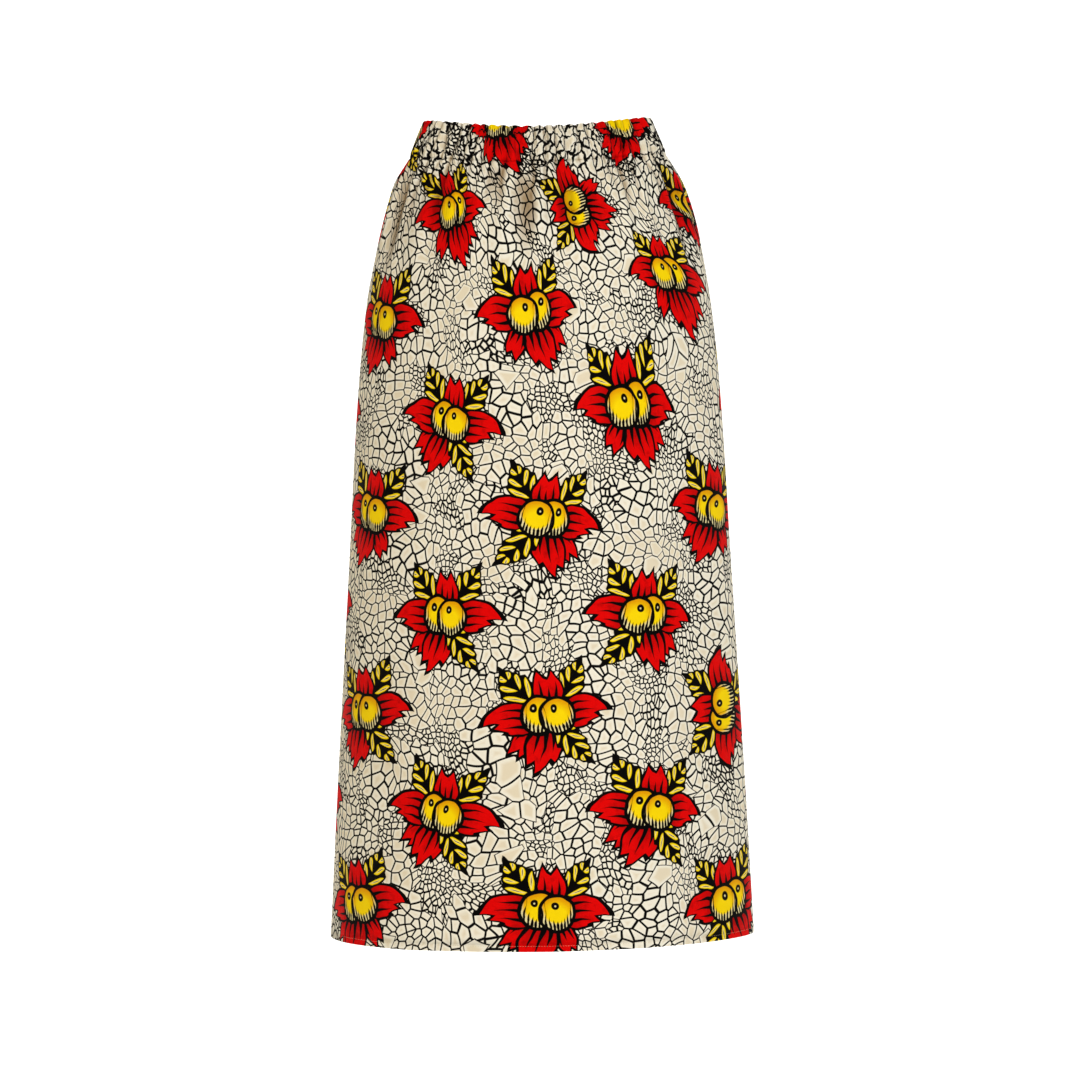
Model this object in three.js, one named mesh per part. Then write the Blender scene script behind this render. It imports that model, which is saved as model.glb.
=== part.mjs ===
// A maxi skirt in printed cotton, gathered into an elastic waist casing and filled out as if it
// were being worn, with nobody in it. Sizes are millimetres, +Z is up and the front faces -Y.
// The origin is the middle of the waist, halfway up the casing at its sides.
import * as THREE from "three";

// Driving sizes
const sideLength = 950; // from the top of the casing down a side seam to the hem edge
const casingHeight = 42; // the cloth folded over the elastic, down to its row of stitches
const hemHeight = 8; // the turned-up hem
const frontDip = 17; // how much lower the waist sits at the centre front
const lift = 0.009; // rise for each millimetre towards +X, where the skirt hangs a touch higher
const panelWall = 1.6; // a panel's cloth
const casingWall = 3.8; // outer cloth, elastic and inner cloth together
const hemWall = 2.6; // the panel's cloth with its edge turned up inside it
const seamGap = 0.3; // between two pieces at a seam

// Gathers and folds
const gathers = 56; // all round the waist
const gatherDepth = 2.7; // from the middle of the wall out to a crest
const gatherFade = 40; // drop over which a gather loses most of its depth below the casing
const gatherDrift = 0.28; // how far a gather strays from even spacing, as a share of one gather
const columnsPerGather = 2; // a crest and a trough
const softFolds = 28; // gathers that have run together in pairs
const softFoldDepth = 2.2;
const softFoldTop = 45;
const softFoldFoot = 210;

// Rows of points down each piece
const panelRows = 15;
const panelRowSpread = 1.7; // over 1 sets the rows closer together near the gathers

// Level sections of the skirt, from the top down. drop is how far a section lies below the top of
// the casing at a side, halfWidth is from the centre to a side seam, and front and back are how far
// the section reaches forwards and backwards.
const sections = [
  { name: "casing top", drop: 0, halfWidth: 131, front: 91, back: 97 },
  { name: "casing foot", drop: 42, halfWidth: 149, front: 105, back: 112 },
  { name: "high hip", drop: 94, halfWidth: 173, front: 125, back: 136 },
  { name: "upper hip", drop: 141, halfWidth: 187, front: 136, back: 150 },
  { name: "hip", drop: 211, halfWidth: 200.5, front: 146, back: 162 },
  { name: "thigh", drop: 328, halfWidth: 212, front: 156, back: 171 },
  { name: "above the knee", drop: 516, halfWidth: 222.5, front: 167, back: 179 },
  { name: "calf", drop: 797, halfWidth: 238.5, front: 183, back: 190 },
  { name: "hem", drop: 950, halfWidth: 246.5, front: 191, back: 196 },
];

// The largest folds under the casing, as troughs. at is the place round the skirt as a share of a
// full turn, from the centre front towards +X, and the fold runs from top down to foot.
const troughs = [
  { at: -0.19, top: 52, foot: 215, halfWidth: 17, depth: 5.5 },
  { at: -0.137, top: 45, foot: 150, halfWidth: 14, depth: 4 },
  { at: -0.052, top: 40, foot: 112, halfWidth: 13, depth: 4.5 },
  { at: -0.016, top: 40, foot: 185, halfWidth: 13, depth: 5.5 },
  { at: 0.036, top: 60, foot: 165, halfWidth: 14, depth: 4 },
  { at: 0.115, top: 42, foot: 125, halfWidth: 14, depth: 3.5 },
  { at: 0.19, top: 48, foot: 190, halfWidth: 16, depth: 4.5 },
  { at: 0.29, top: 44, foot: 205, halfWidth: 16, depth: 5 },
  { at: 0.345, top: 42, foot: 130, halfWidth: 14, depth: 4 },
  { at: 0.405, top: 50, foot: 180, halfWidth: 15, depth: 5 },
  { at: 0.468, top: 40, foot: 120, halfWidth: 13, depth: 4 },
  { at: 0.513, top: 42, foot: 195, halfWidth: 15, depth: 5.5 },
  { at: 0.572, top: 40, foot: 135, halfWidth: 13, depth: 3.5 },
  { at: 0.64, top: 46, foot: 185, halfWidth: 16, depth: 5 },
  { at: 0.705, top: 44, foot: 150, halfWidth: 14, depth: 4 },
];

// Points down the two faces of the casing. share is from the fold at the top, 0, to the stitches
// at the foot, 1, pinch is how far each face draws in from the wall's full thickness there, and
// puff is how far the casing swells over the elastic.
const casingRows = [
  { share: 0, pinch: 1.2, puff: 0 },
  { share: 0.05, pinch: 0.4, puff: 0 },
  { share: 0.2, pinch: 0, puff: 0.3 },
  { share: 0.5, pinch: 0, puff: 0.6 },
  { share: 0.8, pinch: 0, puff: 0.3 },
  { share: 1, pinch: 0.6, puff: 0 },
];

const printedCotton = { color: 0xe9ddc5, roughness: 0.8, metalness: 0 };

const fullTurn = 2 * Math.PI;
const originDrop = casingHeight / 2;

function smoothStep(low, high, value) {
  const t = THREE.MathUtils.clamp((value - low) / (high - low), 0, 1);
  return t * t * (3 - 2 * t);
}

// The slope of one column of the table of sections at row i
function sectionSlope(i, column) {
  const above = sections[Math.max(i - 1, 0)];
  const below = sections[Math.min(i + 1, sections.length - 1)];
  return (below[column] - above[column]) / (below.drop - above.drop);
}

// One column of the table at any drop, on a smooth curve through its rows
function sectionSize(drop, column) {
  const next = sections.findIndex((section) => section.drop >= drop);
  const i = next < 0 ? sections.length - 2 : Math.max(next - 1, 0);
  const start = sections[i];
  const end = sections[i + 1];
  const span = end.drop - start.drop;
  const t = (drop - start.drop) / span;
  return (
    (1 + 2 * t) * (1 - t) * (1 - t) * start[column] +
    t * (1 - t) * (1 - t) * span * sectionSlope(i, column) +
    t * t * (3 - 2 * t) * end[column] +
    t * t * (t - 1) * span * sectionSlope(i + 1, column)
  );
}

function girth(drop) {
  const width = sectionSize(drop, "halfWidth");
  const depth = (sectionSize(drop, "front") + sectionSize(drop, "back")) / 2;
  return fullTurn * Math.sqrt((width * width + depth * depth) / 2);
}

// Gathers stray from even spacing, and some are deeper than others
function strayed(share) {
  const wander = Math.sin(fullTurn * 5 * share) + Math.sin(fullTurn * 9 * share + 2);
  return share + (gatherDrift / gathers / 2) * wander;
}

function unevenness(share) {
  return 1 + 0.3 * Math.sin(fullTurn * 7 * share + 1) + 0.2 * Math.sin(fullTurn * 17 * share);
}

// How far the gathers move the wall out at a place
function gatherAt(share, drop) {
  const below = Math.max(drop - casingHeight, 0);
  const wave = Math.cos(fullTurn * gathers * share) * unevenness(share);
  return gatherDepth * Math.exp(-below / gatherFade) * wave;
}

function softFoldAt(share, drop) {
  const middle = (softFoldTop + softFoldFoot) / 2.4;
  const rise = smoothStep(softFoldTop, middle, drop);
  const fall = 1 - smoothStep(middle, softFoldFoot, drop);
  const wave = Math.cos(fullTurn * softFolds * share + 0.6) * unevenness(share + 0.3);
  return softFoldDepth * rise * fall * wave;
}

function troughAt(share, drop) {
  let inwards = 0;
  for (const fold of troughs) {
    const turnAway = share - fold.at - Math.round(share - fold.at);
    const away = (turnAway * girth(drop)) / fold.halfWidth;
    const run = fold.foot - fold.top;
    const starts = smoothStep(fold.top - 10, fold.top + 0.25 * run, drop);
    const ends = 1 - smoothStep(fold.top + 0.35 * run, fold.foot, drop);
    inwards += fold.depth * starts * ends * Math.exp(-away * away);
  }
  return inwards;
}

function foldsAt(share, drop) {
  return gatherAt(share, drop) + softFoldAt(share, drop) - troughAt(share, drop);
}

// A point of the skirt's wall, out millimetres outside the middle of a smooth wall
function wallPoint(share, drop, out) {
  const width = sectionSize(drop, "halfWidth");
  const turn = fullTurn * strayed(share);
  const depth = sectionSize(drop, Math.cos(turn) > 0 ? "front" : "back");
  const evening = (width - depth) / (width + depth) / 2; // keeps the steps round the section even
  const angle = turn - evening * Math.sin(2 * turn);
  const across = new THREE.Vector2(width * Math.sin(angle), -depth * Math.cos(angle));
  const outwards = new THREE.Vector2(across.x / width ** 2, across.y / depth ** 2).normalize();
  across.addScaledVector(outwards, out);
  const forwards = Math.max(Math.cos(angle), 0);
  const dip = frontDip * forwards * forwards * (1 - drop / sideLength);
  return new THREE.Vector3(across.x, across.y, originDrop - drop - dip + lift * across.x);
}

// A closed wall between two grids of points, each a list of columns from the top down
function wallGeometry(outer, inner) {
  const columns = outer.length;
  const rows = outer[0].length;
  const points = [...outer.flat(), ...inner.flat()];
  const outerAt = (column, row) => column * rows + row;
  const innerAt = (column, row) => outerAt(column, row) + columns * rows;
  const index = [];
  const addFace = (a, b, c, d) => index.push(a, b, c, a, c, d);
  for (let i = 0; i < columns - 1; i++) {
    for (let j = 0; j < rows - 1; j++) {
      addFace(outerAt(i, j), outerAt(i, j + 1), outerAt(i + 1, j + 1), outerAt(i + 1, j));
      addFace(innerAt(i, j), innerAt(i + 1, j), innerAt(i + 1, j + 1), innerAt(i, j + 1));
    }
    addFace(outerAt(i, 0), outerAt(i + 1, 0), innerAt(i + 1, 0), innerAt(i, 0));
    const foot = rows - 1;
    addFace(outerAt(i, foot), innerAt(i, foot), innerAt(i + 1, foot), outerAt(i + 1, foot));
  }
  const last = columns - 1;
  for (let j = 0; j < rows - 1; j++) {
    addFace(outerAt(0, j), innerAt(0, j), innerAt(0, j + 1), outerAt(0, j + 1));
    addFace(outerAt(last, j), outerAt(last, j + 1), innerAt(last, j + 1), innerAt(last, j));
  }
  const geometry = new THREE.BufferGeometry().setFromPoints(points);
  geometry.setIndex(index);
  geometry.computeVertexNormals();
  return geometry;
}

// A piece over half the turn. rows gives for each row of points its drop and how far the outer and
// inner faces lie from the middle of the panel's cloth.
function halfPiece(name, middleShare, rows) {
  const columns = (gathers / 2) * columnsPerGather;
  const outer = [];
  const inner = [];
  for (let i = 0; i <= columns; i++) {
    const shareOf = (drop) =>
      middleShare + (i / columns - 0.5) * (0.5 - seamGap / girth(drop));
    const face = (side) =>
      rows.map((row) => {
        const share = shareOf(row.drop);
        return wallPoint(share, row.drop, foldsAt(share, row.drop) + row[side]);
      });
    outer.push(face("outer"));
    inner.push(face("inner"));
  }
  const material = new THREE.MeshStandardMaterial(printedCotton);
  const mesh = new THREE.Mesh(wallGeometry(outer, inner), material);
  mesh.name = name;
  return mesh;
}

function casing(name, middleShare) {
  const height = casingHeight - seamGap / 2;
  const outer = panelWall / 2;
  const rows = casingRows.map((row) => ({
    drop: row.share * height,
    outer: outer + row.puff - row.pinch,
    inner: outer - casingWall + row.pinch,
  }));
  return halfPiece(name, middleShare, rows);
}

function panel(name, middleShare) {
  const top = casingHeight + seamGap / 2;
  const foot = sideLength - hemHeight - seamGap / 2;
  const rows = [];
  for (let j = 0; j <= panelRows; j++) {
    const drop = top + (foot - top) * (j / panelRows) ** panelRowSpread;
    rows.push({ drop, outer: panelWall / 2, inner: -panelWall / 2 });
  }
  return halfPiece(name, middleShare, rows);
}

function hem(name, middleShare) {
  const top = sideLength - hemHeight + seamGap / 2;
  const outer = panelWall / 2;
  const rows = [
    { drop: top, outer, inner: outer - hemWall },
    { drop: sideLength - 1, outer, inner: outer - hemWall },
    { drop: sideLength, outer: outer - 0.7, inner: outer - hemWall + 0.7 },
  ];
  return halfPiece(name, middleShare, rows);
}

const skirt = new THREE.Group();
for (const [side, middleShare] of [["front", 0], ["back", 0.5]]) {
  skirt.add(
    casing(`${side}_waist_casing`, middleShare),
    panel(`${side}_panel`, middleShare),
    hem(`${side}_hem`, middleShare),
  );
}

export default skirt;
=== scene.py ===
import math

import bmesh
import bpy
import numpy as np
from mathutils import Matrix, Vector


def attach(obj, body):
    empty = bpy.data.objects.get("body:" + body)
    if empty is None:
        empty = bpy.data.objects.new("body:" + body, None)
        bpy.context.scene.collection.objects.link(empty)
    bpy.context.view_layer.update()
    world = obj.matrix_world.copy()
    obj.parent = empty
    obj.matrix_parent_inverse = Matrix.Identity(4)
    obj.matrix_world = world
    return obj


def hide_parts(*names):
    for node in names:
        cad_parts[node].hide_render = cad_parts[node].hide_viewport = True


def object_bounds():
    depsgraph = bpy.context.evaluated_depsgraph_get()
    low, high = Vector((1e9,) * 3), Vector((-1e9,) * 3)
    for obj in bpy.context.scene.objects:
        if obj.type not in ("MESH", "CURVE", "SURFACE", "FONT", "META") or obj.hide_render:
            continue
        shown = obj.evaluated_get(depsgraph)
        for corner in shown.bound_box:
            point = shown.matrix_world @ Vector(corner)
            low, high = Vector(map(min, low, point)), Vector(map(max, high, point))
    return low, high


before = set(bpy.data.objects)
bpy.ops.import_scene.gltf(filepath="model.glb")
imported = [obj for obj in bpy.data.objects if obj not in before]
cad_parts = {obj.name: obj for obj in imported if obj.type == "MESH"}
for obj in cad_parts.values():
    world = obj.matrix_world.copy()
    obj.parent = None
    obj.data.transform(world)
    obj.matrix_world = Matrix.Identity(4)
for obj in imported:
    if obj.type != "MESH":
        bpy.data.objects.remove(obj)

# A gathered maxi skirt in wax print cotton, filled out as if worn. It is sewn here round its
# solids: sizes are millimetres until a piece is placed, and places round the skirt are shares
# of a full turn from the centre front towards +X.

cadLow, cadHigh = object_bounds()
mm = 0.001
fullTurn = 2 * math.pi

skirt = {
    "sideLength": 950,      # top of the casing to the hem edge, down a side seam
    "casingHeight": 42,
    "hemHeight": 8,
    "frontDip": 17,         # the waist sits this much lower at the centre front
    "lift": 0.009,          # rise for each millimetre towards +X
    "cloth": 0.55,          # thickness of the cotton
    "face": 0.8,            # the solids' outer face, out from the middle of their wall
    "pinch": 1.2,           # how deep the stitches under the casing draw the cloth in
    "pinchReach": 2.6,
    "pinchAbove": 0.8,      # deepest this far above the casing's foot
}

# Level sections from the top down. cut is the girth of the flat cloth at each section and drift
# how far the gathers have pulled the cloth towards -X there.
sections = {
    "drop":      [0, 42, 68, 94, 141, 211, 328, 516, 797, 950],
    "halfWidth": [131, 148.5, 165.5, 174.5, 187, 200.5, 212, 222.5, 238.5, 246.5],
    "front":     [91, 105, 117, 125.5, 136, 146, 156, 167, 183, 191],
    "back":      [97, 112, 126, 136.5, 150, 162, 171, 179, 190, 196],
    "cut":       [1236, 1300, 1430, 1505, 1451, 1387, 1350, 1345, 1360, 1400],
    "drift":     [76, 69, 59, 48, 32, 15, 2, 0, 0, 0],
}

gathers = {
    "number": 56,           # all round
    "depth": 2.7,
    "valley": 0.85,         # under 1 the valleys between them are sharp
    "fade": 40,             # drop over which they lose most of their depth under the casing
    "drift": 0.28,          # how far one strays from even spacing, as a share of its width
    "sway": 0.1,            # how far its valleys wander on the way down, as a share of its width
    "swayRun": 9,
    "round": (12, 75),      # between these drops under the casing their sharp valleys turn round
    "ruffle": 1.6,          # how far they lift the top edge
    "ruffleFoot": 8,
    "softNumber": 28,       # gathers run together in pairs
    "softDepth": 2.2,
    "softTop": 45,
    "softDeepest": 106.25,
    "softFoot": 210,
}

# The largest folds under the casing, each a trough
troughs = {
    "at":        [-0.19, -0.137, -0.052, -0.016, 0.036, 0.115, 0.19, 0.29, 0.345, 0.405, 0.468,
                  0.513, 0.572, 0.64, 0.705],
    "top":       [52, 45, 40, 40, 60, 42, 48, 44, 42, 50, 40, 42, 40, 46, 44],
    "foot":      [215, 150, 112, 185, 165, 125, 190, 205, 130, 180, 120, 195, 135, 185, 150],
    "halfWidth": [17, 14, 13, 13, 14, 14, 16, 16, 14, 15, 13, 15, 13, 16, 14],
    "depth":     [5.5, 4, 4.5, 5.5, 4, 3.5, 4.5, 5, 4, 5, 4, 5.5, 3.5, 5, 4],
}
troughRun = {
    "fullness": 1.25,       # deepens them all together
    "above": 10,            # a trough starts this far above its top
    "full": 0.25,           # it is deepest between these two shares of the way to its foot
    "fading": 0.35,
    "sides": 1.6,           # over 1 rounds its bottom
}

# The faint flutes that hang from the hips to the hem: waves in a turn, height, start
flutes = {"waves": [(6, 0.6, 0.5), (9, 0.7, 2.1), (15, 0.35, 0.2)], "depth": 1.5, "drops": (190, 620)}

sideSeam = {
    "ease": 0.1,            # each panel stops this far short of the seam
    "dip": 1.1,             # the seam lies this deep
    "dipReach": 2.2,
    "roll": 0.7,            # and the cloth on both sides rolls in this far
    "rollReach": 9,
    "columns": [0.3, 0.8, 1.6, 3],      # how far from the seam the cloth's mesh has extra columns,
    "columnGirth": 1200,    # where the girth is this
}


def smoothStep(low, high, value):
    t = np.clip((value - low) / (high - low), 0, 1)
    return t * t * (3 - 2 * t)


def sectionSize(drop, column):
    drops = np.array(sections["drop"], float)
    sizes = np.array(sections[column], float)
    last = len(drops) - 1
    above = np.maximum(np.arange(last + 1) - 1, 0)
    below = np.minimum(np.arange(last + 1) + 1, last)
    slopes = (sizes[below] - sizes[above]) / (drops[below] - drops[above])
    i = np.clip(np.searchsorted(drops, drop) - 1, 0, last - 1)
    span = drops[i + 1] - drops[i]
    t = (drop - drops[i]) / span
    return ((1 + 2 * t) * (1 - t) ** 2 * sizes[i] + t * (1 - t) ** 2 * span * slopes[i]
            + t * t * (3 - 2 * t) * sizes[i + 1] + t * t * (t - 1) * span * slopes[i + 1])


def crest(share, sway=0):           # 1 on top of each gather and 0 in the valley between two
    return np.abs(np.cos(math.pi * gathers["number"] * (share + sway))) ** gathers["valley"]


def girth(drop):
    depth = (sectionSize(drop, "front") + sectionSize(drop, "back")) / 2
    return fullTurn * np.sqrt((sectionSize(drop, "halfWidth") ** 2 + depth ** 2) / 2)


def waves(share, *terms):           # a sum of sines: waves in a turn, height, start
    return sum(height * np.sin(fullTurn * number * share + start)
               for number, height, start in terms)


# Sharp valleys between round puffs, which soften under the casing
def gatherFolds(share, drop):
    below = np.maximum(drop - skirt["casingHeight"], 0)
    wander = np.sin(drop / gathers["swayRun"] + waves(share, (13, 3, 0)))
    puff = 2 * crest(share, gathers["sway"] / gathers["number"] * wander) - 1.1
    rounded = np.cos(fullTurn * gathers["number"] * share)
    blend = smoothStep(*gathers["round"], below)
    uneven = 1 + waves(share, (7, 0.3, 1), (17, 0.2, 0), (29, 0.18, 2))
    fade = gathers["fade"] * (1 + waves(share, (11, 0.35, 0.4), (23, 0.25, 1.3)))
    return gathers["depth"] * np.exp(-below / fade) * uneven * (puff * (1 - blend) + rounded * blend)


def softFolds(share, drop):
    rise = smoothStep(gathers["softTop"], gathers["softDeepest"], drop)
    fall = 1 - smoothStep(gathers["softDeepest"], gathers["softFoot"], drop)
    uneven = 1 + waves(share, (7, 0.3, 2.9), (17, 0.2, 0))
    fold = np.cos(fullTurn * gathers["softNumber"] * share + 0.6)
    return gathers["softDepth"] * rise * fall * uneven * fold


def troughFolds(share, drop):
    inwards = 0
    for at, top, foot, halfWidth, depth in zip(*troughs.values()):
        turnAway = share - at - np.round(share - at)
        away = turnAway * girth(drop) / halfWidth
        run = foot - top
        starts = smoothStep(top - troughRun["above"], top + troughRun["full"] * run, drop)
        ends = 1 - smoothStep(top + troughRun["fading"] * run, foot, drop)
        inwards = inwards + depth * starts * ends * np.exp(-np.abs(away) ** troughRun["sides"])
    return troughRun["fullness"] * inwards


def fluteSwing(share, drop):
    return waves(share, *flutes["waves"]) * smoothStep(*flutes["drops"], drop) * flutes["depth"]


def seamDip(share, drop):           # both panels roll in where a side seam joins them
    away = (np.abs(share - np.round(2 * share - 0.5) / 2 - 0.25)) * girth(drop)
    dip = sideSeam["dip"] * np.exp(-(away / sideSeam["dipReach"]) ** 2)
    return dip + sideSeam["roll"] * np.exp(-(away / sideSeam["rollReach"]) ** 2)


def stitchPinch(drop):              # 1 at the stitches under the casing, fading above and below
    deepest = skirt["casingHeight"] - skirt["pinchAbove"]
    return np.exp(-((drop - deepest) / skirt["pinchReach"]) ** 2)


# How far out the cloth is drawn from the middle of the solids' wall
def clothFace(share, drop):
    folds = gatherFolds(share, drop) + softFolds(share, drop) - troughFolds(share, drop)
    pinch = skirt["pinch"] * stitchPinch(drop)
    return skirt["face"] + folds + fluteSwing(share, drop) - seamDip(share, drop) - pinch


def skirtPoint(share, drop, out):   # metres, in the skirt's frame
    width = sectionSize(drop, "halfWidth")
    wander = waves(share, (5, 1, 0), (9, 1, 2))
    turn = fullTurn * (share + gathers["drift"] / gathers["number"] / 2 * wander)
    depth = np.where(np.cos(turn) > 0, sectionSize(drop, "front"), sectionSize(drop, "back"))
    angle = turn - (width - depth) / (width + depth) / 2 * np.sin(2 * turn)
    x, y = width * np.sin(angle), -depth * np.cos(angle)
    outX, outY = x / width ** 2, y / depth ** 2
    size = np.hypot(outX, outY)
    x, y = x + out * outX / size, y + out * outY / size
    dip = skirt["frontDip"] * np.maximum(np.cos(angle), 0) ** 2 * (1 - drop / skirt["sideLength"])
    nearTop = 1 - smoothStep(0, gathers["ruffleFoot"], drop)
    ruffle = gathers["ruffle"] * (crest(share) - 0.6) * nearTop
    z = skirt["casingHeight"] / 2 - drop - dip + skirt["lift"] * x + ruffle
    return np.stack([x, y, z], axis=-1) * mm


# Materials. The maths of a pattern is in millimetres on the flat cloth.

class Wire:                         # one socket, so that shader maths can be written as sums
    def __init__(self, tree, socket=None):
        self.tree = tree
        self.socket = socket

    def node(self, kind, settings=None, values=None, output=0):
        made = self.tree.nodes.new("ShaderNode" + kind)
        for name, value in (settings or {}).items():
            if name in ("curve", "corners"):
                points = made.mapping.curves[0].points
                while len(points) < len(value):
                    points.new(0.5, 0.5)
                for point, place in zip(points, value):
                    point.location = place
                    point.handle_type = "AUTO" if name == "curve" else "VECTOR"
                made.mapping.update()
            else:
                setattr(made, name, value)
        for key, value in (values or {}).items():
            if isinstance(value, Wire):
                self.tree.links.new(value.socket, made.inputs[key])
            else:
                made.inputs[key].default_value = value
        return Wire(self.tree, made.outputs[output])

    def math(self, operation, *others, clamp=False):
        settings = {"operation": operation, "use_clamp": clamp}
        return self.node("Math", settings, dict(enumerate((self, *others))))

    def vector(self, operation, *others, output=0):
        settings = {"operation": operation}
        return self.node("VectorMath", settings, dict(enumerate((self, *others))), output)

    def part(self, i):              # x, y or z of a place
        return self.node("SeparateXYZ", None, {0: self}, i)

    def noise(self, scale, detail, roughness=0.5, output=0):
        values = {"Vector": self, "Scale": scale, "Detail": detail, "Roughness": roughness}
        return self.node("TexNoise", {"noise_dimensions": "2D"}, values, output)

    def mix(self, mask, colour):    # this colour, with another laid over it through a mask
        return self.node("Mix", {"data_type": "RGBA"}, {0: mask, 6: self, 7: colour}, 2)

    def __add__(self, other):
        return self.math("ADD", other)

    __radd__ = __add__

    def __sub__(self, other):
        return self.math("SUBTRACT", other)

    def __rsub__(self, other):
        return self.node("Math", {"operation": "SUBTRACT"}, {0: other, 1: self})

    def __mul__(self, other):
        return self.math("MULTIPLY", other)

    __rmul__ = __mul__

    def __truediv__(self, other):
        return self.math("DIVIDE", other)

    def __abs__(self):
        return self.math("ABSOLUTE")


def dye(red, green, blue):          # a colour as a screen shows it, from 0 to 255
    return tuple((value / 255) ** 2.2 for value in (red, green, blue)) + (1,)


def inside(edge, soft=0.5):         # 1 where edge is over 0, with a rim soft millimetres wide
    return edge.math("MULTIPLY_ADD", 1 / soft, 0.5, clamp=True)


inks = {
    "black": dye(8, 5, 5),
    "red": dye(229, 3, 3),
    "deepRed": dye(150, 2, 4),
    "yellow": dye(255, 219, 12),
    "gold": dye(232, 160, 6),
    "cream": dye(240, 226, 168),
    "ground": dye(234, 221, 192),
    "paleGround": dye(246, 240, 222),
}

printRepeat = {
    "across": 247,              # from one flower to the next in a row
    "down": 224,                # rows lie half of this apart, each shifted by half of across
    "origin": (5, -458),        # one flower's centre on the front panel's flat cloth
    "tilt": 0.34,               # how far flowers lean, in radians from the least to the most
    "shift": 6,                 # how far flowers stray from their rows
    "drawn": (0.93, 1, 1),      # under 1 draws the flowers wider than their shapes below
    "unsteady": 4,              # how far the drawn lines waver
    "oddLeaf": 0.58,            # flowers whose chance is above this have one more leaf, below
    "turned": {                 # one flower in so many lies on its side
        "cell": (1, 3),
        "every": (6, 5),
        "by": 1.5,
    },
    "strays": [                 # where flowers lie away from their rows
        {"at": (220, -190), "move": (-39, 52), "reach": (177, 125)},
        {"at": (5, -5), "move": (0, 13), "reach": (120, 60)},
        {"at": (-118, -112), "move": (5, 17), "reach": (120, 70)},
        {"at": (232, -190), "move": (26, 0), "reach": (140, 90)},
    ],
}

crackle = {
    "large": 20,                # width of the cells, most of which are cracked into smaller ones
    "middle": 11.6,
    "small": 7.2,
    "again": 0.31,              # fewer cells are cracked again above this
    "often": 0.57,
    "randomness": 0.9,
    "crowding": 60,             # how far it is from one crowd of small cells to the next
    "pull": 22,                 # pulls some cells wide and others narrow
    "line": 1.02,               # half the width of a crack
    "crushedLine": 0.45,        # how much wider the cracks look where the cloth is gathered
}

# A petal starts at base and runs towards turn, in degrees, and hook curves it. cut is how much
# shorter it is, from one edge to the other, which gives its tip teeth.
petalOutline = [(0, 0), (0.06, 0.48), (0.28, 0.82), (0.58, 1), (0.8, 0.95), (0.93, 0.66), (1, 0)]
petals = {
    "top":    {"base": (-1, 2), "turn": 94, "length": 58, "width": 19, "hook": 0.00003, "veins": 0.22,
               "cut": [(0, 0.5), (0.12, 0.26), (0.25, 0.02), (0.38, 0.24), (0.5, 0.32), (0.68, 0.04),
                       (0.82, 0.24), (1, 0.45)]},
    "side":   {"base": (8, -4), "turn": 15, "length": 63, "width": 21, "hook": 0.00007, "veins": 0.24,
               "cut": [(0, 0.7), (0.07, 0.4), (0.14, 0.56), (0.26, 0.17), (0.38, 0.34), (0.5, 0),
                       (0.75, 0), (1, 0.05)]},
    "back":   {"base": (6, -6), "turn": -38, "length": 58, "width": 15, "hook": 0.00003, "veins": 0.28,
               "cut": [(0, 0.4), (0.3, 0.08), (0.46, 0.34), (0.68, 0), (1, 0.4)]},
    "small":  {"base": (-6, -6), "turn": -122, "length": 52, "width": 14, "hook": -0.00003, "veins": 0.28,
               "cut": [(0, 0.4), (0.3, 0.06), (0.48, 0.3), (0.7, 0), (1, 0.4)]},
    "bottom": {"base": (2, -4), "turn": -76, "length": 67, "width": 22, "hook": -0.00003, "veins": 0.22,
               "cut": [(0, 0.5), (0.15, 0.16), (0.28, 0.34), (0.42, 0.06), (0.52, 0), (0.64, 0.28),
                       (0.78, 0.08), (0.89, 0.3), (1, 0.5)]},
}
petalInk = {
    "rim": 3.2,             # black outline round a petal
    "tipRim": 1.09,         # how much longer a petal is than its red at the tip
    "vein": 4.6,            # twice a vein's width at its root
    "veinEnd": 0.72,        # veins have run out at this share of the petal's length
    "deepRoot": 1.75,       # deep red at a petal's root, full where it is over 1
    "deepFade": 2.6,        # how much of it is lost along the petal
}
hairline = 0.3              # nothing thinner than this is printed

leafOutline = [(0, 0), (0.05, 0.5), (0.25, 0.93), (0.48, 1), (0.72, 0.66), (0.88, 0.24), (1, 0)]
leaves = {
    "upper": {"base": (9, 9), "turn": 50, "length": 67, "width": 18, "hook": -0.00002},
    "odd":   {"base": (-7, -9), "turn": -121, "length": 67, "width": 16, "hook": 0.00002},
}
leaflets = {
    "spacing": 15.5,
    "slant": 1.3,
    "halfWidth": 2.8,
    "reach": 0.42,          # half a leaflet's length, as a share of half the leaf's width
    "rim": 3,               # dark edge left round them
    "upTo": 0.84,           # none beyond this share of the leaf's length
    "tooth": 2.2,           # the leaf's edge stands out this far at each of its teeth
    "toothSlope": 0.6,
    "pith": (0.75, 1.9, 1.2),       # a leaflet's pale middle: its size and how fast it narrows
    "slit": (0.42, 3.2, 1.6),       # across and along, and the same of the dark slit in it
}

lobes = [                           # the two halves of a flower's heart, the hind one first
    {"at": (11, 2.5), "size": (17, 19.5), "seed": (16, 11)},
    {"at": (-9, -0.5), "size": (18.3, 18.8), "seed": (-6, 8)},
]
heartInk = {
    "rim": 3.7,
    "seed": (4, 4.7),
    "seedDot": 0.24,        # the pale dot in a seed, as a share of the seed
    "strokeStep": 2.05,     # between the dark strokes under a lobe
    "strokeSpread": 0.2,    # how far they fan out
}


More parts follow.
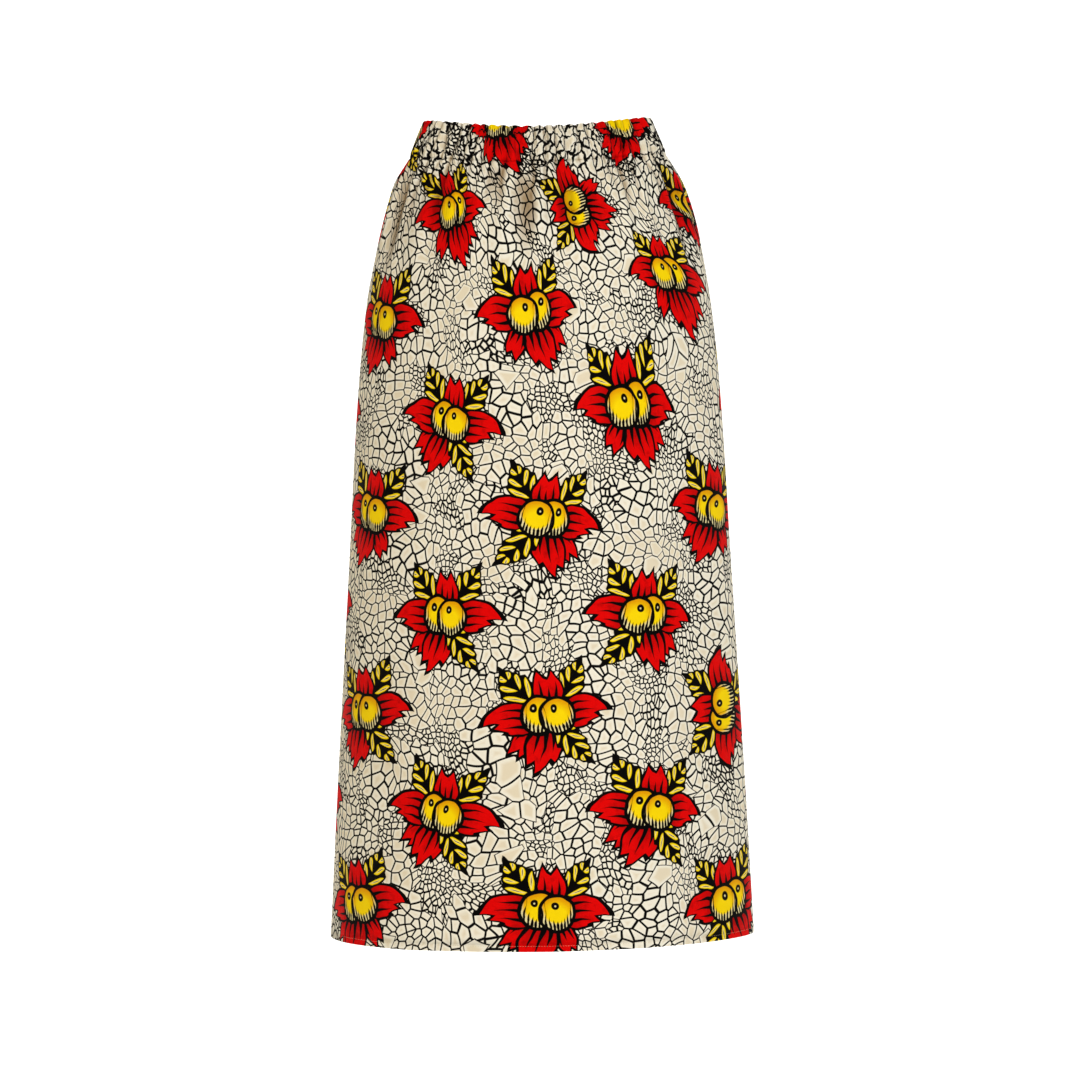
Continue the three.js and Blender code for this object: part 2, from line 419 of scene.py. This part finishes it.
def turned(x, y, shape):            # distances along and across a petal or a leaf
    angle = math.radians(shape["turn"])
    c, s = math.cos(angle), math.sin(angle)
    baseX, baseY = shape["base"]
    along = x.math("MULTIPLY_ADD", c, y.math("MULTIPLY_ADD", s, -baseX * c - baseY * s))
    across = x.math("MULTIPLY_ADD", -s, y.math("MULTIPLY_ADD", c, baseX * s - baseY * c))
    return along, (along * along * along).math("MULTIPLY_ADD", shape["hook"], across)


def paintPetal(colour, x, y, shape, reds):
    along, across = turned(x, y, shape)
    length = shape["length"]
    cut = across.math("MULTIPLY_ADD", 0.5 / shape["width"], 0.5)
    cut = cut.node("FloatCurve", {"corners": shape["cut"]}, {"Value": cut})
    part = along.math("MULTIPLY", cut.math("MULTIPLY_ADD", 1 / length, 1 / length), clamp=True)
    width = part.node("FloatCurve", {"curve": petalOutline}, {"Value": part}) * shape["width"]
    inner = part * petalInk["tipRim"]
    inner = part.node("FloatCurve", {"curve": petalOutline}, {"Value": inner})
    inner = inner * shape["width"]
    out = abs(across)
    nearVein = (across / width).math("PINGPONG", shape["veins"]) * width
    veinWidth = part.math("MULTIPLY_ADD", -petalInk["vein"] / petalInk["veinEnd"], petalInk["vein"])
    vein = inside(veinWidth - nearVein)
    deep = part.math("MULTIPLY_ADD", -petalInk["deepFade"], petalInk["deepRoot"], clamp=True)
    red = reds[0].mix(deep, reds[1])
    colour = colour.mix(inside(width - out - hairline), inks["black"])
    return colour.mix(inside(inner - out - petalInk["rim"]) * (1 - vein), red)


def paintLeaf(colour, x, y, shape, only=1):
    along, across = turned(x, y, shape)
    part = along.math("MULTIPLY", 1 / shape["length"], clamp=True)
    width = part.node("FloatCurve", {"curve": leafOutline}, {"Value": part}) * shape["width"]
    out = abs(across)
    spacing = leaflets["spacing"]
    place = out.math("MULTIPLY_ADD", -leaflets["slant"], along)
    teeth = place.math("PINGPONG", spacing / 2)
    teeth = teeth.math("MULTIPLY_ADD", -leaflets["toothSlope"], leaflets["tooth"])
    edge = width - out + teeth * (1.15 - part)
    body = inside(edge * part.math("GREATER_THAN", 0.001) - hairline) * only
    narrow = 1 / math.hypot(1, leaflets["slant"]) / leaflets["halfWidth"]
    beside = abs(place.math("WRAP", spacing / 2, -spacing / 2)) * narrow
    between = (out / width).math("MULTIPLY_ADD", 1 / leaflets["reach"], -0.5 / leaflets["reach"])
    between = between * between
    leaflet = inside(1 - beside - between, 0.2) * inside(edge - leaflets["rim"])
    leaflet = leaflet * part.math("LESS_THAN", leaflets["upTo"])

    def core(kind, soft):           # a smaller shape in the middle of each leaflet
        size, narrowAcross, narrowAlong = leaflets[kind]
        return inside(size - beside * narrowAcross - between * narrowAlong, soft)

    pith, slit = core("pith", 0.4), core("slit", 0.3)
    colour = colour.mix(body, inks["black"])
    flesh = colour.mix(1.0, inks["yellow"]).mix(pith * 0.75, inks["cream"])
    return colour.mix(leaflet * (1 - slit) * body, flesh)


def paintLobe(colour, flower, x, lobe, uneven):
    place = flower.vector("SUBTRACT", (*lobe["at"], 0)).vector("DIVIDE", (*lobe["size"], 1))
    up = place.part(1)
    reach = place.vector("LENGTH", output=1)
    edge = (1 - reach) * lobe["size"][0]
    low = (reach - up * 0.42).math("MULTIPLY_ADD", 2.3, -1.3, clamp=True)
    flesh = flower.node("RGB")
    flesh.socket.default_value = inks["yellow"]
    flesh = flesh.mix((reach + up * 0.3).math("MULTIPLY_ADD", 1.5, -0.75, clamp=True), inks["gold"])
    flesh = flesh.mix(low.math("MULTIPLY_ADD", 2, -1, clamp=True), inks["cream"])
    ray = x + up * (lobe["at"][0] * heartInk["strokeSpread"])
    ray = ray.math("PINGPONG", heartInk["strokeStep"])
    flesh = flesh.mix(inside(low * (uneven * 2.2 + 0.6) - ray - hairline), inks["black"])
    seed = flower.vector("SUBTRACT", (*lobe["seed"], 0)).vector("DIVIDE", (*heartInk["seed"], 1))
    seed = seed.vector("LENGTH", output=1)
    flesh = flesh.mix(inside(1 - seed, 0.15), inks["black"])
    flesh = flesh.mix(inside(heartInk["seedDot"] - seed, 0.15), inks["cream"])
    return colour.mix(inside(edge + heartInk["rim"]), inks["black"]).mix(inside(edge), flesh)


def paintGround(cloth, gathered):   # cream cells between black cracks, crowded here and large there
    pull = cloth.noise(1 / crackle["crowding"], 0, output=1)
    pulled = cloth.vector("ADD", pull.vector("MULTIPLY", (crackle["pull"],) * 3))

    def cracks(size):
        settings = {"voronoi_dimensions": "2D", "feature": "DISTANCE_TO_EDGE"}
        values = {"Vector": pulled, "Scale": 1 / crackle[size], "Randomness": crackle["randomness"]}
        return cloth.node("TexVoronoi", settings, values) * crackle[size]

    def isCracked(size, share):     # 1 in the cells that are cracked into smaller ones
        values = {"Vector": pulled, "Scale": 1 / crackle[size], "Randomness": crackle["randomness"]}
        middle = cloth.node("TexVoronoi", {"voronoi_dimensions": "2D"}, values, 2)
        return middle.noise(1 / crackle["crowding"], 2).math("GREATER_THAN", share)

    large, middle = cracks("large"), cracks("middle")
    inner = middle + isCracked("middle", crackle["often"]) * (cracks("small") - middle)
    nearest = large + isCracked("large", crackle["again"]) * (inner - large)
    patches = pull.part(2)
    pale = nearest.math("MULTIPLY_ADD", -0.32, patches * 1.6 + 1.0, clamp=True)
    ground = cloth.node("RGB")
    ground.socket.default_value = inks["ground"]
    line = patches.math("MULTIPLY_ADD", 0.6, 0.7) * crackle["line"]
    line = line * gathered.math("MULTIPLY_ADD", crackle["crushedLine"], 1)
    return ground.mix(pale, inks["paleGround"]).mix(inside(line - nearest, 0.45), inks["black"])


def paintFlowers(colour, cloth):
    half = (printRepeat["across"] / 2, printRepeat["down"] / 2, 1)
    minusHalf = tuple(-value for value in half)
    place = cloth.vector("SUBTRACT", (*printRepeat["origin"], 0))
    for stray in printRepeat["strays"]:
        away = cloth.vector("SUBTRACT", (*stray["at"], 0)).vector("DIVIDE", (*stray["reach"], 1))
        away = away.vector("LENGTH", output=1)
        close = (away * away * -1).math("EXPONENT")
        moved = {0: close * stray["move"][0], 1: close * stray["move"][1]}
        place = place.vector("SUBTRACT", cloth.node("CombineXYZ", None, moved))
    near = place.vector("WRAP", half, minusHalf)
    far = place.vector("ADD", (half[0], half[1], 0)).vector("WRAP", half, minusHalf)
    share = near.vector("ABSOLUTE").vector("DOT_PRODUCT", (1 / half[0], 1 / half[1], 0), output=1)
    isFar = share.math("GREATER_THAN", 1)
    local = cloth.node("Mix", {"data_type": "VECTOR"}, {0: isFar, 4: near, 5: far}, 1)
    cell = place.vector("SUBTRACT", local).vector("DIVIDE", half)
    cell = cell.vector("ADD", (0.5, 0.5, 0)).vector("FLOOR")
    chance = cloth.node("TexWhiteNoise", {"noise_dimensions": "2D"}, {"Vector": cell}, 1)
    chances = [chance.part(i) for i in range(3)]
    shift = chance.vector("SUBTRACT", (0.5, 0.5, 0.5)).vector("MULTIPLY", (printRepeat["shift"],) * 3)
    lean = chances[2].math("MULTIPLY_ADD", printRepeat["tilt"], -printRepeat["tilt"] / 2)
    other = printRepeat["turned"]
    cellAway = cell.vector("SUBTRACT", (*other["cell"], 0))
    acrossAway = cellAway.vector("DOT_PRODUCT", (1, 1 / other["every"][1], 0), output=1)
    upAway = cellAway.vector("DOT_PRODUCT", (0, 1, 0), output=1)
    acrossAway = acrossAway.math("WRAP", other["every"][0] / 2, -other["every"][0] / 2)
    upAway = upAway.math("WRAP", other["every"][1] / 2, -other["every"][1] / 2)
    lean = lean - (abs(acrossAway) + abs(upAway)).math("LESS_THAN", 0.15) * other["by"]
    bend = cloth.noise(0.045, 1, output=1).vector("SUBTRACT", (0.5, 0.5, 0.5))
    bend = bend.vector("MULTIPLY", (printRepeat["unsteady"],) * 3)
    local = local.vector("ADD", shift).vector("ADD", bend).vector("MULTIPLY", printRepeat["drawn"])
    local = cloth.node("VectorRotate", {"rotation_type": "Z_AXIS"}, {"Vector": local, "Angle": lean})
    side = chances[0].math("GREATER_THAN", 0.5).math("MULTIPLY_ADD", 2, -1)
    x = local.part(0) * side
    y = local.part(1)
    flower = cloth.node("CombineXYZ", None, {0: x, 1: y})
    bothSides = abs(x)
    mottle = cloth.noise(0.11, 3)
    red = colour.node("RGB")
    red.socket.default_value = inks["red"]
    red = red.mix(mottle.math("MULTIPLY_ADD", 4, -2.1, clamp=True) * 0.5, inks["deepRed"])
    reds = (red, red.mix(0.75, inks["deepRed"]))
    colour = paintLeaf(colour, bothSides, y, leaves["upper"])
    colour = paintPetal(colour, x, y, petals["top"], reds)
    colour = paintPetal(colour, x, y, petals["back"], reds)
    colour = paintPetal(colour, x, y, petals["small"], reds)
    colour = paintPetal(colour, bothSides, y, petals["side"], reds)
    colour = paintPetal(colour, x, y, petals["bottom"], reds)
    hasOddLeaf = chances[1].math("GREATER_THAN", printRepeat["oddLeaf"])
    colour = paintLeaf(colour, x, y, leaves["odd"], hasOddLeaf)
    for lobe in lobes:
        colour = paintLobe(colour, flower, x, lobe, mottle)
    return colour


cottonFinish = {
    "roughness": 0.7,
    "wear": 0.2,                # how much the roughness varies
    "sheen": 0.01,
    "shine": 0.05,
    "weave": 0.62,              # the pitch of its threads
    "weaveDepth": 0.05,
    "creaseDepth": 0.5,
    "pleatDepth": 7,            # narrow creases that run down out of the gathers
    "relief": 0.8,              # how strongly all of these show
    "foldShadeTint": (0.36, 0.25, 0.14, 1),    # painted shade: browner and darker deep in the folds and at the casing's stitches
    "crushed": 4,               # how far the gathers break up the cracks
    "crushedFlowers": 1.2,
}


def printedCotton(name, pucker=1.0):
    material = bpy.data.materials.new(name)
    material.use_nodes = True
    tree = material.node_tree
    shader = tree.nodes["Principled BSDF"]
    shader.inputs["Sheen Weight"].default_value = cottonFinish["sheen"]
    shader.inputs["Specular IOR Level"].default_value = cottonFinish["shine"]
    start = Wire(tree)
    cloth = start.node("UVMap", {"uv_map": "flatCloth"}).vector("MULTIPLY", (1 / mm, 1 / mm, 0))
    gathered = start.node("Attribute", {"attribute_name": "gathered"}, None, 2)
    crushed = cloth.noise(0.12, 2, output=1).vector("SUBTRACT", (0.5, 0.5, 0.5))
    moved = []
    for reach in (cottonFinish["crushed"], cottonFinish["crushedFlowers"]):
        values = {"Vector": crushed, "Scale": gathered * (2 * reach)}
        moved.append(cloth.vector("ADD", start.node("VectorMath", {"operation": "SCALE"}, values)))
    colour = paintFlowers(paintGround(moved[0], gathered), moved[1])
    # Painted shade: the print is multiplied towards brown where a place lies deep in a fold or under the
    # casing's stitches
    foldShade = start.node("Attribute", {"attribute_name": "foldHollow"}, None, 2)
    shade = start.node("RGB")
    shade.socket.default_value = (1, 1, 1, 1)
    shade = shade.mix(foldShade, cottonFinish["foldShadeTint"])
    settings = {"data_type": "RGBA", "blend_type": "MULTIPLY"}
    colour = start.node("Mix", settings, {0: 1.0, 6: colour, 7: shade}, 2)
    tree.links.new(colour.socket, shader.inputs["Base Color"])
    wear = cottonFinish["wear"]
    rough = cloth.noise(0.03, 4).math("MULTIPLY_ADD", wear, cottonFinish["roughness"] - wear / 2)
    tree.links.new(rough.socket, shader.inputs["Roughness"])
    pitch = fullTurn / cottonFinish["weave"]
    weave = (cloth.part(0) * pitch).math("SINE") * (cloth.part(1) * pitch).math("SINE")
    weave = weave * (cottonFinish["weaveDepth"] * mm)
    crease = cloth.vector("MULTIPLY", (1, 0.3, 1)).noise(0.035, 3, roughness=0.55)
    pleats = cloth.vector("MULTIPLY", (1, 0.13, 1)).noise(0.15, 1)
    height = crease.math("MULTIPLY_ADD", cottonFinish["creaseDepth"] * pucker * 2 * mm, weave)
    height = height + pleats * gathered * (cottonFinish["pleatDepth"] * mm)
    values = {"Height": height, "Distance": 1.0, "Strength": cottonFinish["relief"]}
    bump = start.node("Bump", None, values)
    tree.links.new(bump.socket, shader.inputs["Normal"])
    return material


sewingThread = {
    "pale": dye(198, 178, 142),
    "dark": dye(160, 138, 104),
    "sheen": 0.2,
    "roughness": 0.6,
    "twists": 900,
    "twistDepth": 0.05,
}


def threadMaterial():
    material = bpy.data.materials.new("sewingThread")
    material.use_nodes = True
    tree = material.node_tree
    shader = tree.nodes["Principled BSDF"]
    shader.inputs["Sheen Weight"].default_value = sewingThread["sheen"]
    start = Wire(tree)
    place = start.node("TexCoord", None, None, 3)
    values = {"Vector": place, "Scale": sewingThread["twists"], "Distortion": 1}
    twist = start.node("TexWave", {"bands_direction": "DIAGONAL"}, values)
    shade = start.node("RGB")
    shade.socket.default_value = sewingThread["pale"]
    shade = shade.mix(twist * 0.35, sewingThread["dark"])
    tree.links.new(shade.socket, shader.inputs["Base Color"])
    rough = twist * 0.2 + sewingThread["roughness"]
    tree.links.new(rough.socket, shader.inputs["Roughness"])
    height = twist * (sewingThread["twistDepth"] * mm)
    bump = start.node("Bump", None, {"Height": height, "Distance": 1.0, "Strength": 0.6})
    tree.links.new(bump.socket, shader.inputs["Normal"])
    return material


cotton = printedCotton("waxPrintCotton")
casingCotton = printedCotton("waxPrintCottonGathered", 1.6)
thread = threadMaterial()
print("materials mixed")


# Pieces

backPanelRepeat = (3170, -63)       # how far from the front the back was cut out of the print

# What the cotton's material reads from a piece: how deep a place lies in the folds, which it darkens
# with painted shade, and how much the cloth is gathered there
foldShadeAndGathering = {
    "gathers": 1.7,
    "stitches": 1.6,
    "foldShadeFrom": 1.4,
    "foldShadeOver": 5.8,
    "gatheredTo": 34,
    "gatheredFade": 42,
}


def addPiece(name, mesh, material):
    piece = bpy.data.objects.new(name, mesh)
    bpy.context.collection.objects.link(piece)
    mesh.materials.append(material)
    for polygon in mesh.polygons:
        polygon.use_smooth = True
    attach(piece, "root")
    return piece


# One piece of half the skirt. Its path gives each row's drop, how far it lies out from the cloth's
# face, and its place up the flat cloth.
def clothStrip(name, middle, columns, path, material, node):
    drops, outs, flats = (np.array(row, float) for row in zip(*path))
    seamEase = sideSeam["ease"] / girth(drops)
    near = np.array(sideSeam["columns"]) / sideSeam["columnGirth"]
    steps = np.linspace(-0.25, 0.25, columns + 1)
    steps = np.unique(np.concatenate([steps, near - 0.25, 0.25 - near]))
    cloth = bmesh.new()
    bmesh.ops.create_grid(cloth, x_segments=len(steps) - 1, y_segments=len(path) - 1, size=1)
    flatCloth = cloth.loops.layers.uv.new("flatCloth")
    corners = np.array([vertex.co[:2] for vertex in cloth.verts])
    column = np.rint((corners[:, 0] + 1) / 2 * (len(steps) - 1)).astype(int)
    row = np.rint((1 - corners[:, 1]) / 2 * (len(path) - 1)).astype(int)
    local = steps[column] * (1 - 4 * seamEase[row])
    share, drop = middle + local, drops[row]
    points = skirtPoint(share, drop, clothFace(share, drop) + outs[row])
    across = sectionSize(drop, "cut") * local + sectionSize(drop, "drift")
    offset = backPanelRepeat if middle else (0, 0)
    flat = np.stack([across + offset[0], flats[row] + offset[1]], axis=-1) * mm
    for vertex, point in zip(cloth.verts, points):
        vertex.co = point
    cloth.verts.index_update()
    for face in cloth.faces:
        for loop in face.loops:
            loop[flatCloth].uv = flat[loop.vert.index]
    mesh = bpy.data.meshes.new(name)
    cloth.to_mesh(mesh)
    cloth.free()
    # How deep a place lies in the folds and at the casing's stitches, which the cotton paints as shade
    depth = troughFolds(share, drop) - foldShadeAndGathering["gathers"] * gatherFolds(share, drop)
    depth = depth + foldShadeAndGathering["stitches"] * stitchPinch(drop)
    foldShade = np.clip((depth - foldShadeAndGathering["foldShadeFrom"]) / foldShadeAndGathering["foldShadeOver"], 0, 1)
    gathered = np.exp(-np.maximum(drop - foldShadeAndGathering["gatheredTo"], 0) / foldShadeAndGathering["gatheredFade"])
    for field, values in (("foldHollow", foldShade), ("gathered", gathered)):
        attribute = mesh.attributes.new(field, "FLOAT", "POINT")
        attribute.data.foreach_set("value", values.astype(np.float32))
    piece = addPiece(name, mesh, material)
    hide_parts(node)
    wall = piece.modifiers.new("cloth", "SOLIDIFY")
    wall.thickness = skirt["cloth"] * mm
    wall.offset = -1
    return piece


panelCut = {"columns": 252, "rows": 128, "rowSpread": 1.4}


def panelPath():
    top, foot = skirt["casingHeight"], skirt["sideLength"] - skirt["hemHeight"]
    drops = top + (foot - top) * np.linspace(0, 1, panelCut["rows"] + 1) ** panelCut["rowSpread"]
    return [(drop, 0, -drop) for drop in drops]


casingCut = {
    "columns": 308,
    "rows": 16,
    "foldRows": 9,
    "thick": 3.2,           # room between its two layers, where the elastic runs
    "pinched": 0.75,        # how much thinner it is at its stitches
    "fold": 1.6,
    "puff": 0.7,            # how far it stands out over the elastic
}


# Follows the faces towards the elastic: up the outside, over the fold and down the inside
def casingPath():
    height, rows, fold = skirt["casingHeight"], casingCut["rows"], casingCut["fold"]
    path = []
    for part in np.linspace(0, 1, rows + 1):        # inside, from the stitches up
        drop = height - (height - fold) * part
        pinch = 1 - casingCut["pinched"] * (1 - part) ** 6
        path.append((drop, -casingCut["thick"] * pinch, drop))
    for angle in np.linspace(0, math.pi, casingCut["foldRows"])[1:-1]:
        drop = fold - fold * math.sin(angle)
        out = -casingCut["thick"] / 2 * (1 + math.cos(angle))
        path.append((drop, out, fold * math.cos(angle)))
    for part in np.linspace(0, 1, rows + 1):
        drop = fold + (height - fold) * part
        puff = casingCut["puff"] * math.sin(math.pi * part) ** 0.7
        path.append((drop, puff, -drop))
    return path[::-1]


hemCut = {"columns": 252, "rows": 6, "foldRows": 7, "thick": 1.3, "turn": 0.6, "short": 0.4}


def hemPath():                      # down the outside, round the fold and up the inside
    foot, turn = skirt["sideLength"], hemCut["turn"]
    top = foot - skirt["hemHeight"]
    path = [(drop, 0, -drop) for drop in np.linspace(top, foot - turn, hemCut["rows"])]
    for angle in np.linspace(0, math.pi, hemCut["foldRows"])[1:-1]:
        out = -hemCut["thick"] / 2 * (1 - math.cos(angle))
        path.append((foot - turn + turn * math.sin(angle), out, -foot - turn * angle))
    for drop in np.linspace(foot - turn, top + hemCut["short"], hemCut["rows"]):
        path.append((drop, -hemCut["thick"], drop - 2 * foot))
    return path


casings, panels, hems = [], [], []
for side, middle in (("front", 0), ("back", 0.5)):
    casings.append(clothStrip(side + "CasingCloth", middle, casingCut["columns"], casingPath(),
                              casingCotton, side + "_waist_casing"))
    panels.append(clothStrip(side + "PanelCloth", middle, panelCut["columns"], panelPath(),
                             cotton, side + "_panel"))
    hems.append(clothStrip(side + "HemCloth", middle, hemCut["columns"], hemPath(),
                           cotton, side + "_hem"))
print("cloth cut and gathered")


stitching = {
    "step": 3.0,
    "length": 2.1,
    "width": 0.28,
    "height": 0.3,
    "proud": 0.05,          # how far out from the drawn cloth the middle of a stitch lies
    "first": 0.2,           # where a row's first stitch starts, as a share of a step
    "fromSeam": 0.0005,     # how far from a side seam a row starts, as a share of a turn
    "aboveCasingFoot": 1.2,
    "belowHemTop": 1.4,
}


# A row of top-stitches along half the skirt, each a small lens of thread
def stitchRow(name, middle, drop):
    fromSeam = stitching["fromSeam"]
    fine = np.linspace(fromSeam - 0.25, 0.25 - fromSeam, 4000) + middle
    line = skirtPoint(fine, np.full_like(fine, drop), clothFace(fine, np.full_like(fine, drop)))
    run = np.concatenate([[0], np.cumsum(np.linalg.norm(np.diff(line, axis=0), axis=1))])
    number = int(run[-1] / (stitching["step"] * mm))
    starts = (np.arange(number) + stitching["first"]) * stitching["step"] * mm
    row = bmesh.new()
    for start in starts:
        ends = [np.array([np.interp(at, run, line[:, k]) for k in range(3)])
                for at in (start, start + stitching["length"] * mm)]
        middlePoint = (ends[0] + ends[1]) / 2
        along = (ends[1] - ends[0]) / np.linalg.norm(ends[1] - ends[0])
        outwards = np.cross(along, (0, 0, 1))
        outwards /= np.linalg.norm(outwards)
        up = np.cross(outwards, along)
        half = np.array([stitching["length"], stitching["height"], stitching["width"]]) / 2 * mm
        turn = np.stack([along * half[0], outwards * half[1], up * half[2]], axis=1)
        sphere = bmesh.ops.create_uvsphere(row, u_segments=6, v_segments=4, radius=1)
        for vertex in sphere["verts"]:
            place = np.array([vertex.co.z, vertex.co.x, vertex.co.y])
            vertex.co = middlePoint + outwards * stitching["proud"] * mm + turn @ place
    mesh = bpy.data.meshes.new(name)
    bmesh.ops.recalc_face_normals(row, faces=row.faces)
    row.to_mesh(mesh)
    row.free()
    return addPiece(name, mesh, thread)


casingStitchDrop = skirt["casingHeight"] - stitching["aboveCasingFoot"]
hemStitchDrop = skirt["sideLength"] - skirt["hemHeight"] + stitching["belowHemTop"]
casingStitches, hemStitches = [], []
for side, middle in (("front", 0), ("back", 0.5)):
    casingStitches.append(stitchRow(side + "CasingStitches", middle, casingStitchDrop))
    hemStitches.append(stitchRow(side + "HemStitches", middle, hemStitchDrop))
print("stitched")


# A level camera near the skirt's mid height. frameWidth is what its picture takes in at the
# skirt, in metres as distance and height are, and roll is in degrees.
camera = {"distance": 4.0, "frameWidth": 1.2651, "height": -0.4695, "roll": 0.35, "sensor": 36}
lens = bpy.data.cameras.new("camera")
lens.sensor_width = camera["sensor"]
lens.lens = camera["sensor"] * camera["distance"] / camera["frameWidth"]
eye = bpy.data.objects.new("camera", lens)
eye.rotation_euler = (math.radians(90), math.radians(camera["roll"]), 0)
eye.location = (0, -camera["distance"], camera["height"])
bpy.context.collection.objects.link(eye)
bpy.context.scene.camera = eye

studio = {
    "floorDrop": 0.4,       # from the hem down to the floor, in metres as the rest here
    "halfWidth": 7,
    "front": -7,
    "curveFrom": 3.6,
    "curve": 1.8,
    "top": 5,
    "colour": (0.9, 0.9, 0.89, 1),
    "roughness": 0.9,
}


def paleFloor():                    # a floor that curves up into a backdrop
    level = cadLow.z - studio["floorDrop"]
    curve = studio["curve"]
    line = [(studio["front"], level)]
    for angle in np.linspace(0, math.pi / 2, 13):
        height = level + curve * (1 - math.cos(angle))
        line.append((studio["curveFrom"] + curve * math.sin(angle), height))
    line.append((studio["curveFrom"] + curve, studio["top"]))
    floor = bmesh.new()
    bmesh.ops.create_grid(floor, x_segments=1, y_segments=len(line) - 1, size=1)
    for vertex in floor.verts:
        row = round((vertex.co.y + 1) / 2 * (len(line) - 1))
        vertex.co = (vertex.co.x * studio["halfWidth"], *line[row])
    mesh = bpy.data.meshes.new("paleFloor")
    floor.to_mesh(mesh)
    floor.free()
    for polygon in mesh.polygons:
        polygon.use_smooth = True
    piece = bpy.data.objects.new("paleFloor", mesh)
    bpy.context.collection.objects.link(piece)
    material = bpy.data.materials.new("paleFloor")
    material.use_nodes = True
    shader = material.node_tree.nodes["Principled BSDF"]
    shader.inputs["Base Color"].default_value = studio["colour"]
    shader.inputs["Roughness"].default_value = studio["roughness"]
    mesh.materials.append(material)


paleFloor()

softLights = [                      # where each lamp hangs and where it aims, in metres
    {"name": "key", "at": (1.1, -3.8, 1.0), "aim": (0, 0, -0.45), "size": 1.2, "power": 83,
     "colour": (0.98, 0.985, 1)},
    {"name": "fill", "at": (-3.2, -2.2, 0.3), "aim": (0, 0, -0.45), "size": 2.0, "power": 16,
     "colour": (1, 0.75, 0.34)},
    {"name": "backdrop", "at": (0, 2.2, 2.2), "aim": (0, 5, -0.8), "size": 3.4, "power": 190,
     "colour": (1, 1, 1)},
    {"name": "rear", "at": (0.6, 3.1, 1.9), "aim": (0, 0, -0.45), "size": 1.4, "power": 32,
     "colour": (1, 0.99, 0.96)},
]
for light in softLights:
    lamp = bpy.data.lights.new(light["name"], "AREA")
    lamp.size = light["size"]
    lamp.energy = light["power"]
    lamp.color = light["colour"]
    holder = bpy.data.objects.new(light["name"], lamp)
    holder.location = light["at"]
    aim = holder.location.copy()
    aim.xyz = light["aim"]
    holder.rotation_euler = (aim - holder.location).to_track_quat("-Z", "Y").to_euler()
    bpy.context.collection.objects.link(holder)

surroundings = {"colour": (1, 0.95, 0.86, 1), "strength": 0.37}
world = bpy.data.worlds.new("studio")
world.use_nodes = True
background = world.node_tree.nodes["Background"]
background.inputs["Color"].default_value = surroundings["colour"]
background.inputs["Strength"].default_value = surroundings["strength"]
bpy.context.scene.world = world
bpy.context.scene.view_settings.view_transform = "Standard"
print("studio set")
